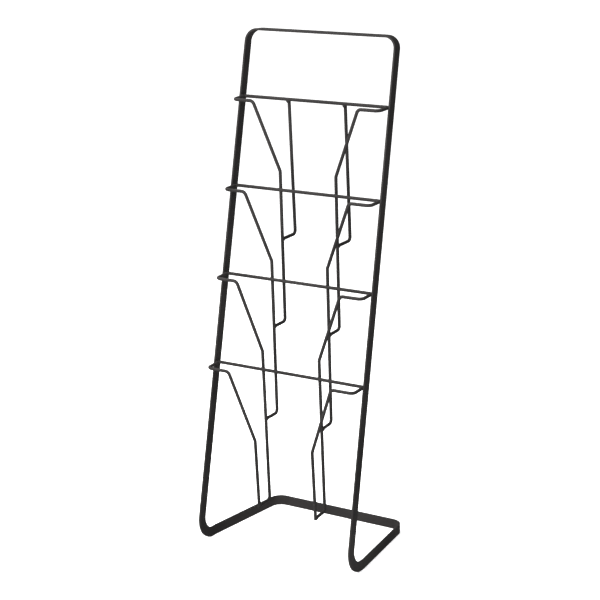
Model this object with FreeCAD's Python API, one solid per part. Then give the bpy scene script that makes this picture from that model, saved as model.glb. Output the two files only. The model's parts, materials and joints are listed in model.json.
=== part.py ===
import FreeCAD, Part
import math
import os

from FreeCAD import Vector

# Magazine rack that stands on the floor: a leaning frame of welded flat bar that carries four
# tiers of bent wire, each of them a pocket for magazines.
# Sizes are in millimetres and angles in degrees. X runs to the right, Y to the rear and Z up.
# The origin lies on the floor, below the middle of the rack's width and depth.

# Overall size
overall_height = 798.0
overall_depth = 212.0
lean_angle = 10.54

# Flat bar of the frame: spacings and bend radii are those of its centre line
bar_width = 16.0
bar_thickness = 3.0
bar_edge_radius = 0.6
leg_spacing_at_floor = 269.2
leg_spacing_at_top = 256.0
rail_spacing_at_rear = 233.7
top_corner_radius = 18.5
rear_corner_radius = 18.5
elbow_radius = 30.5
rail_turn_radius = 30.0
seam_run = 4.0            # straight bar between a bend and the welded seam next to it

# Round wire of the tiers: bend radii are those of its centre line
wire_diameter = 5.0
rung_bend_radius = 5.0
loop_bend_radius = 8.0
hook_bend_radius = 6.0

# Tiers, from the top one down
tier_names = ("top", "second", "third", "bottom")
rung_heights = (695.2, 559.9, 424.8, 287.2)
loop_reach = 32.5         # from a rung forward to the returns in front of it
loop_fall = 1.5           # the returns lie this much lower than their rung
return_bend_spacing = 181.2
diagonal_falls = (105.4, 105.6, 107.6, 109.9)    # from the returns down to where the uprights begin

# Uprights: the back wires first, then those of the tiers from the top down
upright_spacings = (97.6, 97.2, 97.8, 100.3, 102.0)
upright_tilts = (5.0, 3.3, 3.3, 4.4, 5.5)    # their feet stand to the rear
pocket_floor_heights = (481.4, 347.5, 203.5, 65.2)
hook_rise = 1.5           # a hook falls this much on its way forward
back_wire_stub = 0.5      # the back wires end this far above the middle of the top rung
bottom_upright_set_back = 32.8    # behind the legs, at the lowest pocket floor

# Welds
weld_set_down = 0.3       # a wire is pressed this far into what it lies against
hook_bite = 1.0           # the end of a hook is pressed this far into its upright
leg_bead_radius = 2.8
leg_bead_set_forward = 4.7
cross_bead_radius = 3.1
hook_bead_radius = 3.4

# Values that follow from the sizes above
half_wire = wire_diameter / 2
sine_of_lean = math.sin(math.radians(lean_angle))
cosine_of_lean = math.cos(math.radians(lean_angle))
elbow_outer_radius = elbow_radius + bar_width / 2
elbow_centre_from_foot = (elbow_outer_radius * (1 + sine_of_lean) - bar_width / 2) / cosine_of_lean
foot_y = elbow_outer_radius - elbow_centre_from_foot - overall_depth / 2
rear_y = overall_depth / 2 - bar_thickness / 2
to_right = Vector(1, 0, 0)
to_rear = Vector(0, 1, 0)
upward = Vector(0, 0, 1)


def leg_y(height):
    """Depth of the legs' middle plane at a height."""
    return foot_y + height * sine_of_lean / cosine_of_lean


def leg_x(height):
    """Distance of a leg's centre line from the middle of the rack."""
    share = height / overall_height
    return (leg_spacing_at_floor + share * (leg_spacing_at_top - leg_spacing_at_floor)) / 2


def mirrored(point):
    return Vector(-point.x, point.y, point.z)


def bend_run(radius, direction_in, direction_out):
    """Length that a bend takes from each of the straight runs beside it."""
    return radius * math.tan(direction_in.getAngle(direction_out) / 2)


def rounded_path(points, radii):
    """Straight runs through the points, with a tangent arc at each point between the ends."""
    edges = []
    run_start = points[0]
    for before, corner, after, radius in zip(points, points[1:], points[2:], radii):
        back = (before - corner).normalize()
        ahead = (after - corner).normalize()
        inward = (back + ahead).normalize()
        half_angle = back.getAngle(ahead) / 2
        centre = corner + inward * (radius / math.sin(half_angle))
        arc_start = corner + back * (radius / math.tan(half_angle))
        arc_end = corner + ahead * (radius / math.tan(half_angle))
        edges.append(Part.LineSegment(run_start, arc_start).toShape())
        edges.append(Part.Arc(arc_start, centre - inward * radius, arc_end).toShape())
        run_start = arc_end
    edges.append(Part.LineSegment(run_start, points[-1]).toShape())
    return Part.Wire(edges)


def bar_section(middle, along, wide):
    """Outline of the flat bar around a point, with its wide side along a direction square to the run."""
    to_edge = wide * (bar_width / 2)
    to_face = along.cross(wide).normalize() * (bar_thickness / 2)
    outline = [middle + to_edge, middle + to_edge + to_face, middle - to_edge + to_face,
               middle - to_edge - to_face, middle + to_edge - to_face, middle + to_edge]
    return rounded_path(outline, [bar_edge_radius] * 4)


def flat_bar(points, radii, wide, wide_at_end=None):
    """Flat bar along the points. Its wide side can turn from one direction to another on the way."""
    sections = [bar_section(points[0], points[1] - points[0], wide)]
    if wide_at_end:
        sections.append(bar_section(points[-1], points[-1] - points[-2], wide_at_end))
    return rounded_path(points, radii).makePipeShell(sections, True, False).removeSplitter()


def round_wire(points, radii):
    """Round wire along the points."""
    section = Part.Wire(Part.makeCircle(half_wire, points[0], points[1] - points[0]))
    return rounded_path(points, radii).makePipeShell([section], True, False)


def make_frame():
    """The six flat bars, which meet end to end at seams that are ground flush. The top one lies level."""
    foot = Vector(leg_x(0), foot_y, 0)
    head = Vector(leg_x(overall_height), leg_y(overall_height), overall_height)
    up_leg = (head - foot).normalize()
    square_to_leaning_plane = Vector(0, cosine_of_lean, -sine_of_lean)

    top_corner = head - up_leg * (bar_thickness / 2 / up_leg.z)
    top_bend_run = bend_run(top_corner_radius, up_leg, -to_right) + seam_run
    top_seam = top_corner - up_leg * top_bend_run
    level_end = top_corner - to_right * top_bend_run
    corner = flat_bar([top_seam, top_corner, level_end], [top_corner_radius],
                      square_to_leaning_plane, to_rear)
    level_run = flat_bar([level_end, mirrored(level_end)], [], to_rear)
    top_bar = level_run.fuse([corner, corner.mirror(Vector(), to_right)]).removeSplitter()

    elbow_corner = foot + up_leg * (bar_width / 2 / up_leg.z)
    elbow_seam = elbow_corner + to_rear * (bend_run(elbow_radius, -up_leg, to_rear) + seam_run)
    square_to_leg = (to_rear - up_leg * up_leg.dot(to_rear)).normalize()

    rail_turn = elbow_seam + to_rear * seam_run
    rear_corner = Vector(rail_spacing_at_rear / 2, rear_y, bar_width / 2)
    along_rail = (rear_corner - rail_turn).normalize()
    rear_seam = rear_corner - along_rail * (bend_run(rear_corner_radius, along_rail, -to_right) + seam_run)
    rear_bar = flat_bar([rear_seam, rear_corner, mirrored(rear_corner), mirrored(rear_seam)],
                        [rear_corner_radius] * 2, upward)

    frame = {"top_bar": top_bar, "rear_floor_bar": rear_bar}
    for side, placed in (("right", Vector), ("left", mirrored)):
        leg_path = [placed(point) for point in (top_seam, elbow_corner, elbow_seam)]
        rail_path = [placed(point) for point in (elbow_seam, rail_turn, rear_seam)]
        frame[side + "_leg"] = flat_bar(leg_path, [elbow_radius], placed(square_to_leg))
        frame[side + "_floor_rail"] = flat_bar(rail_path, [rail_turn_radius], upward)
    return frame


def upright_point(pair, height):
    """Point on the right upright of a pair: pair 0 is the back wires and pair n belongs to tier n."""
    tilt = math.radians(upright_tilts[pair])
    if pair < len(rung_heights):
        known_height = rung_heights[pair]
        behind_legs = (wire_diameter - weld_set_down) / math.cos(tilt)
    else:
        known_height = pocket_floor_heights[-1]
        behind_legs = bottom_upright_set_back
    y = leg_y(known_height) + behind_legs + (known_height - height) * math.tan(tilt)
    return Vector(upright_spacings[pair] / 2, y, height)


def hook_points(pair):
    """Corner and end of the hook that carries a pocket's floor forward to the next pair."""
    floor_height = pocket_floor_heights[pair]
    corner = upright_point(pair, floor_height + hook_rise)
    end = upright_point(pair + 1, floor_height) + to_rear * (half_wire - hook_bite)
    return [corner, end]


def tier_half(tier):
    """Right half of a tier, from the end of its rung to the foot of its upright or the end of its hook."""
    rung_height = rung_heights[tier]
    loop_x = leg_x(rung_height) - bar_thickness / 2 - half_wire + weld_set_down
    rung_end = Vector(loop_x, leg_y(rung_height), rung_height)
    loop_front = rung_end + Vector(0, -loop_reach, -loop_fall)
    return_bend = Vector(return_bend_spacing / 2, loop_front.y, loop_front.z)
    pair = tier + 1
    upright_top = upright_point(pair, return_bend.z - diagonal_falls[tier])
    points = [rung_end, loop_front, return_bend, upright_top]
    if pair < len(pocket_floor_heights):
        return points + hook_points(pair)
    return points + [upright_point(pair, pocket_floor_heights[-1] - half_wire)]


def make_tiers():
    """The four tier wires, before the welds press them together."""
    tiers = []
    for tier in range(len(rung_heights)):
        half = tier_half(tier)
        other_half = [mirrored(point) for point in reversed(half)]
        radii = [rung_bend_radius] + [loop_bend_radius] * 3 + [hook_bend_radius]
        radii = radii[:len(half) - 1]
        tiers.append(round_wire(other_half + half, radii[::-1] + radii))
    return tiers


def make_back_wires():
    """The two wires behind the top pocket, right one first."""
    points = [upright_point(0, rung_heights[0] + back_wire_stub)] + hook_points(0)
    right = round_wire(points, [hook_bend_radius])
    left = round_wire([mirrored(point) for point in points], [hook_bend_radius])
    return [right, left]


def both_sides(point):
    return [point, mirrored(point)]


def make_beads(centres, radius, facing, neighbours):
    """Weld metal that fills the corners between the two pieces that face each other at each centre."""
    beads = []
    for centre in centres:
        beads += Part.makeSphere(radius, centre, facing).cut(neighbours).Solids
    return Part.makeCompound(beads)


def make_welds(legs, wires):
    """The beads of each kind of joint by name."""
    leg_joints = []
    crossings = []
    hook_joints = []
    for pair, (rung_height, floor_height) in enumerate(zip(rung_heights, pocket_floor_heights)):
        inner_face = leg_x(rung_height) - bar_thickness / 2
        leg_joints += both_sides(Vector(inner_face, leg_y(rung_height) - leg_bead_set_forward, rung_height))
        crossing_height = rung_height
        if pair == 0:
            crossing_height -= cross_bead_radius    # below the rung, because the back wires end behind it
        crossing = upright_point(pair, crossing_height)
        crossing.y = (crossing.y + leg_y(rung_height)) / 2
        crossings += both_sides(crossing)
        hook_joints += both_sides(upright_point(pair + 1, floor_height) + to_rear * half_wire)
    return {
        "leg_weld_beads": make_beads(leg_joints, leg_bead_radius, to_right, wires + legs),
        "cross_weld_beads": make_beads(crossings, cross_bead_radius, to_rear, wires),
        "hook_weld_beads": make_beads(hook_joints, hook_bead_radius, to_rear, wires),
    }


def make_rack():
    """Every piece of the rack by name. A wire gives way to the bars and the wire that it is welded to."""
    pieces = make_frame()
    legs = [pieces["left_leg"], pieces["right_leg"]]
    tiers = make_tiers()
    back_wires = make_back_wires()
    for number, (name, tier) in enumerate(zip(tier_names, tiers), start=1):
        pieces[name + "_tier_wire"] = tier.cut(legs + tiers[number:number + 1])
    for side, wire in zip(("right", "left"), back_wires):
        pieces[side + "_back_wire"] = wire.cut(tiers[0])
    pieces.update(make_welds(legs, tiers + back_wires))
    return pieces


os.makedirs("parts", exist_ok=True)
for name, shape in make_rack().items():
    shape.exportStep("parts/" + name + ".step")
    print(name, len(shape.Solids), "solids", round(shape.Volume / 1000, 3), "cm3, valid", shape.isValid())
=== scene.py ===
import json
import math

import bpy
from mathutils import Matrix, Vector


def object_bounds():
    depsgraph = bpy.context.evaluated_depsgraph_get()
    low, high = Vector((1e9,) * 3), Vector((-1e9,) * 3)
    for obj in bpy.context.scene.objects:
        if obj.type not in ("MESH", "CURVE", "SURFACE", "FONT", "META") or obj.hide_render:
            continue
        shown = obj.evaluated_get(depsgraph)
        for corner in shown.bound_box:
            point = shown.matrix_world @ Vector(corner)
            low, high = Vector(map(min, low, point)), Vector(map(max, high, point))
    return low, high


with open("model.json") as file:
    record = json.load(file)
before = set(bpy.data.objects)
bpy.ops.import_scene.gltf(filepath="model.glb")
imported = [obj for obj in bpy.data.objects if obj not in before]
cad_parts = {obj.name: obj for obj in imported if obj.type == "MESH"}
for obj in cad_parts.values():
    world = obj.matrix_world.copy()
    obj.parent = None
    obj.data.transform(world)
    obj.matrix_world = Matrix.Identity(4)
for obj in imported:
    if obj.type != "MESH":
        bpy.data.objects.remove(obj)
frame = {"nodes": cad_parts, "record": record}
cad_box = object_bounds()

# Places and lengths are in metres, in the rack's own frame, angles in degrees and light powers in watts
white = (1.0, 1.0, 1.0, 1.0)

# Camera of the photograph, with its lens and sensor in millimetres
camera_location = (1.2324, -2.1094, 1.0333)
camera_turn = 30.55
camera_dip = 14.70
camera_lens = 98.65
camera_sensor = 36.0

# Floor, with a faint glow that keeps it white under the rack
floor_size = 60.0
floor_tone = (0.96, 0.96, 0.96, 1.0)
floor_roughness = 0.9
floor_gloss = 0.1
floor_glow = 0.35

# Room: its light is strongest from the front and weakest from the rear
backdrop_light = 1.1
room_light_from_front = 1.75
room_light_from_rear = 0.06
view_gamma = 0.8

# Softboxes: name, place, point that it faces, length of a side and power
softboxes = (
    ("overhead", (0.0, 0.0, 2.0), (0.0, 0.0, 0.4), 0.60, 14.0),
    ("high_left", (-1.2, 0.0, 1.9), (0.0, 0.0, 0.5), 0.80, 20.0),
    ("front", (-0.1, -0.9, 0.95), (0.0, 0.0, 0.65), 0.40, 12.0),
)

# Coat on each kind of steel: size and depth of the grain, roughness and share of dust and painted top
# highlight
coats = {
    "flat_bar": (0.0011, 0.00006, 0.46, 0.10),
    "wire": (0.0009, 0.00005, 0.44, 0.30),
    "weld": (0.0016, 0.00012, 0.50, 0.20),
}

# Powder coat: broad patches go from its darker to its lighter tone
coat_dark = (0.0262, 0.0246, 0.0243, 1.0)
coat_light = (0.0394, 0.0370, 0.0365, 1.0)
coat_gloss = 0.10
patches_per_metre = 9.0
patch_detail = 3.0
patch_range = (0.35, 0.65)

# Speckles, a little finer than the grain, make the gloss uneven
speckles_per_grain = 1.6
speckle_detail = 2.0
speckle_range = (0.30, 0.70)
smoothest_speckle = -0.05
roughest_speckle = 0.06

# Grain, as a bump in the coat
grain_detail = 3.0
grain_raggedness = 0.55
grain_strength = 0.55

# Dust and a painted top highlight: a lighter tone lies where the coat faces up, for dust and for the light
# that falls from above, and more of it on some speckles than on others
dust_and_top_highlight_tone = (0.085, 0.080, 0.079, 1.0)
dust_and_top_highlight_range = (0.40, 0.65)
least_dust_and_top_highlight = 0.25
dust_and_top_highlight_from_upward_share = 0.55


def add_node(tree, kind, **values):
    """A new node with its properties set, or its input sockets where a name is no property."""
    node = tree.nodes.new(kind)
    for name, value in values.items():
        if hasattr(node, name):
            setattr(node, name, value)
        else:
            node.inputs[name.replace("_", " ").title()].default_value = value
    return node


def noise(tree, place, scale, detail, roughness=0.5):
    """Noise over the rack, with features about one over the scale in metres."""
    node = add_node(tree, "ShaderNodeTexNoise", scale=scale, detail=detail, roughness=roughness)
    tree.links.new(place, node.inputs["Vector"])
    return node.outputs["Fac"]


def remap(tree, source, low, high, to_low, to_high):
    """A value carried from one range to another and held inside it."""
    node = tree.nodes.new("ShaderNodeMapRange")
    node.clamp = True
    for name, value in (("From Min", low), ("From Max", high), ("To Min", to_low), ("To Max", to_high)):
        node.inputs[name].default_value = value
    tree.links.new(source, node.inputs["Value"])
    return node.outputs["Result"]


def mix_colours(tree, share, first, second):
    """A mix of two colours, each a socket or a constant."""
    node = tree.nodes.new("ShaderNodeMix")
    node.data_type = "RGBA"
    tree.links.new(share, node.inputs["Factor"])
    for socket, colour in ((node.inputs[6], first), (node.inputs[7], second)):
        if isinstance(colour, tuple):
            socket.default_value = colour
        else:
            tree.links.new(colour, socket)
    return node.outputs[2]


def dust_and_top_highlight_share(tree, speckle, most_dust_and_top_highlight):
    """How much of the coat the dust and painted top highlight cover: none on the sides, and up to the given
    share on top.
    """
    normal = tree.nodes.new("ShaderNodeSeparateXYZ")
    tree.links.new(tree.nodes.new("ShaderNodeNewGeometry").outputs["Normal"], normal.inputs["Vector"])
    facing_up = remap(tree, normal.outputs["Z"], dust_and_top_highlight_from_upward_share, 1.0, 0.0, most_dust_and_top_highlight)
    share = add_node(tree, "ShaderNodeMath", operation="MULTIPLY")
    tree.links.new(facing_up, share.inputs[0])
    tree.links.new(remap(tree, speckle, *dust_and_top_highlight_range, least_dust_and_top_highlight, 1.0), share.inputs[1])
    return share.outputs["Value"]


def powder_coat(name, grain_size, grain_depth, roughness, most_dust_and_top_highlight):
    """Matte black powder coat: fine grain, a little uneven in tone and gloss, with some dust and a painted
    highlight on top.
    """
    material = bpy.data.materials.new(name)
    material.use_nodes = True
    tree = material.node_tree
    shader = tree.nodes["Principled BSDF"]
    shader.inputs["Specular IOR Level"].default_value = coat_gloss
    place = tree.nodes.new("ShaderNodeTexCoord").outputs["Object"]

    patches = noise(tree, place, patches_per_metre, patch_detail)
    speckle = noise(tree, place, speckles_per_grain / grain_size, speckle_detail)
    tone = mix_colours(tree, remap(tree, patches, *patch_range, 0.0, 1.0), coat_dark, coat_light)
    # Lighter tone where the coat faces up: dust, and a painted highlight for the light from above
    colour = mix_colours(tree, dust_and_top_highlight_share(tree, speckle, most_dust_and_top_highlight), tone, dust_and_top_highlight_tone)
    tree.links.new(colour, shader.inputs["Base Color"])
    uneven = remap(tree, speckle, *speckle_range, roughness + smoothest_speckle, roughness + roughest_speckle)
    tree.links.new(uneven, shader.inputs["Roughness"])

    grain = noise(tree, place, 1.0 / grain_size, grain_detail, grain_raggedness)
    bump = add_node(tree, "ShaderNodeBump", strength=grain_strength, distance=grain_depth)
    tree.links.new(grain, bump.inputs["Height"])
    tree.links.new(bump.outputs["Normal"], shader.inputs["Normal"])
    return material


def coat_the_rack():
    """Each kind of piece gets the coat as it lies on that kind of steel."""
    materials = {steel: powder_coat("coat_on_" + steel, *coat) for steel, coat in coats.items()}
    for subpart in frame["record"]["subparts"]:
        piece = frame["nodes"][subpart["node"]]
        piece.data.materials.clear()
        piece.data.materials.append(materials[subpart["material_slot"]])


def add_floor():
    """Plain pale floor that fills the view."""
    bpy.ops.mesh.primitive_plane_add(size=floor_size, location=(0.0, 0.0, cad_box[0][2]))
    floor = bpy.context.object
    floor.name = "floor"
    material = bpy.data.materials.new("floor")
    material.use_nodes = True
    shader = material.node_tree.nodes["Principled BSDF"]
    shader.inputs["Base Color"].default_value = floor_tone
    shader.inputs["Roughness"].default_value = floor_roughness
    shader.inputs["Specular IOR Level"].default_value = floor_gloss
    shader.inputs["Emission Color"].default_value = white
    shader.inputs["Emission Strength"].default_value = floor_glow
    floor.data.materials.append(material)
    floor.visible_glossy = False


def add_room_light():
    """Even white for the camera, and for the rack a soft light that fades from front to rear."""
    world = bpy.data.worlds.new("room")
    world.use_nodes = True
    bpy.context.scene.world = world
    tree = world.node_tree
    light = tree.nodes["Background"]
    light.inputs["Color"].default_value = white
    direction = tree.nodes.new("ShaderNodeSeparateXYZ")
    tree.links.new(tree.nodes.new("ShaderNodeTexCoord").outputs["Generated"], direction.inputs["Vector"])
    strength = remap(tree, direction.outputs["Y"], -1.0, 1.0, room_light_from_front, room_light_from_rear)
    tree.links.new(strength, light.inputs["Strength"])
    backdrop = add_node(tree, "ShaderNodeBackground", strength=backdrop_light)
    backdrop.inputs["Color"].default_value = white
    choice = tree.nodes.new("ShaderNodeMixShader")
    tree.links.new(tree.nodes.new("ShaderNodeLightPath").outputs["Is Camera Ray"], choice.inputs["Fac"])
    tree.links.new(light.outputs["Background"], choice.inputs[1])
    tree.links.new(backdrop.outputs["Background"], choice.inputs[2])
    tree.links.new(choice.outputs["Shader"], tree.nodes["World Output"].inputs["Surface"])


def add_softbox(name, location, aim, size, power):
    """Square area light that faces a point."""
    data = bpy.data.lights.new(name, "AREA")
    data.size = size
    data.energy = power
    light = bpy.data.objects.new(name, data)
    bpy.context.scene.collection.objects.link(light)
    light.location = location
    light.rotation_euler = (Vector(aim) - Vector(location)).to_track_quat("-Z", "Y").to_euler()


def add_camera():
    """Camera where the photograph was taken from."""
    data = bpy.data.cameras.new("camera")
    data.sensor_width = camera_sensor
    data.lens = camera_lens
    camera = bpy.data.objects.new("camera", data)
    bpy.context.scene.collection.objects.link(camera)
    camera.location = camera_location
    camera.rotation_euler = (math.radians(90.0 - camera_dip), 0.0, math.radians(camera_turn))
    bpy.context.scene.camera = camera


coat_the_rack()
add_floor()
add_room_light()
for softbox in softboxes:
    add_softbox(*softbox)
add_camera()
bpy.context.scene.view_settings.view_transform = "Standard"
bpy.context.scene.view_settings.gamma = view_gamma
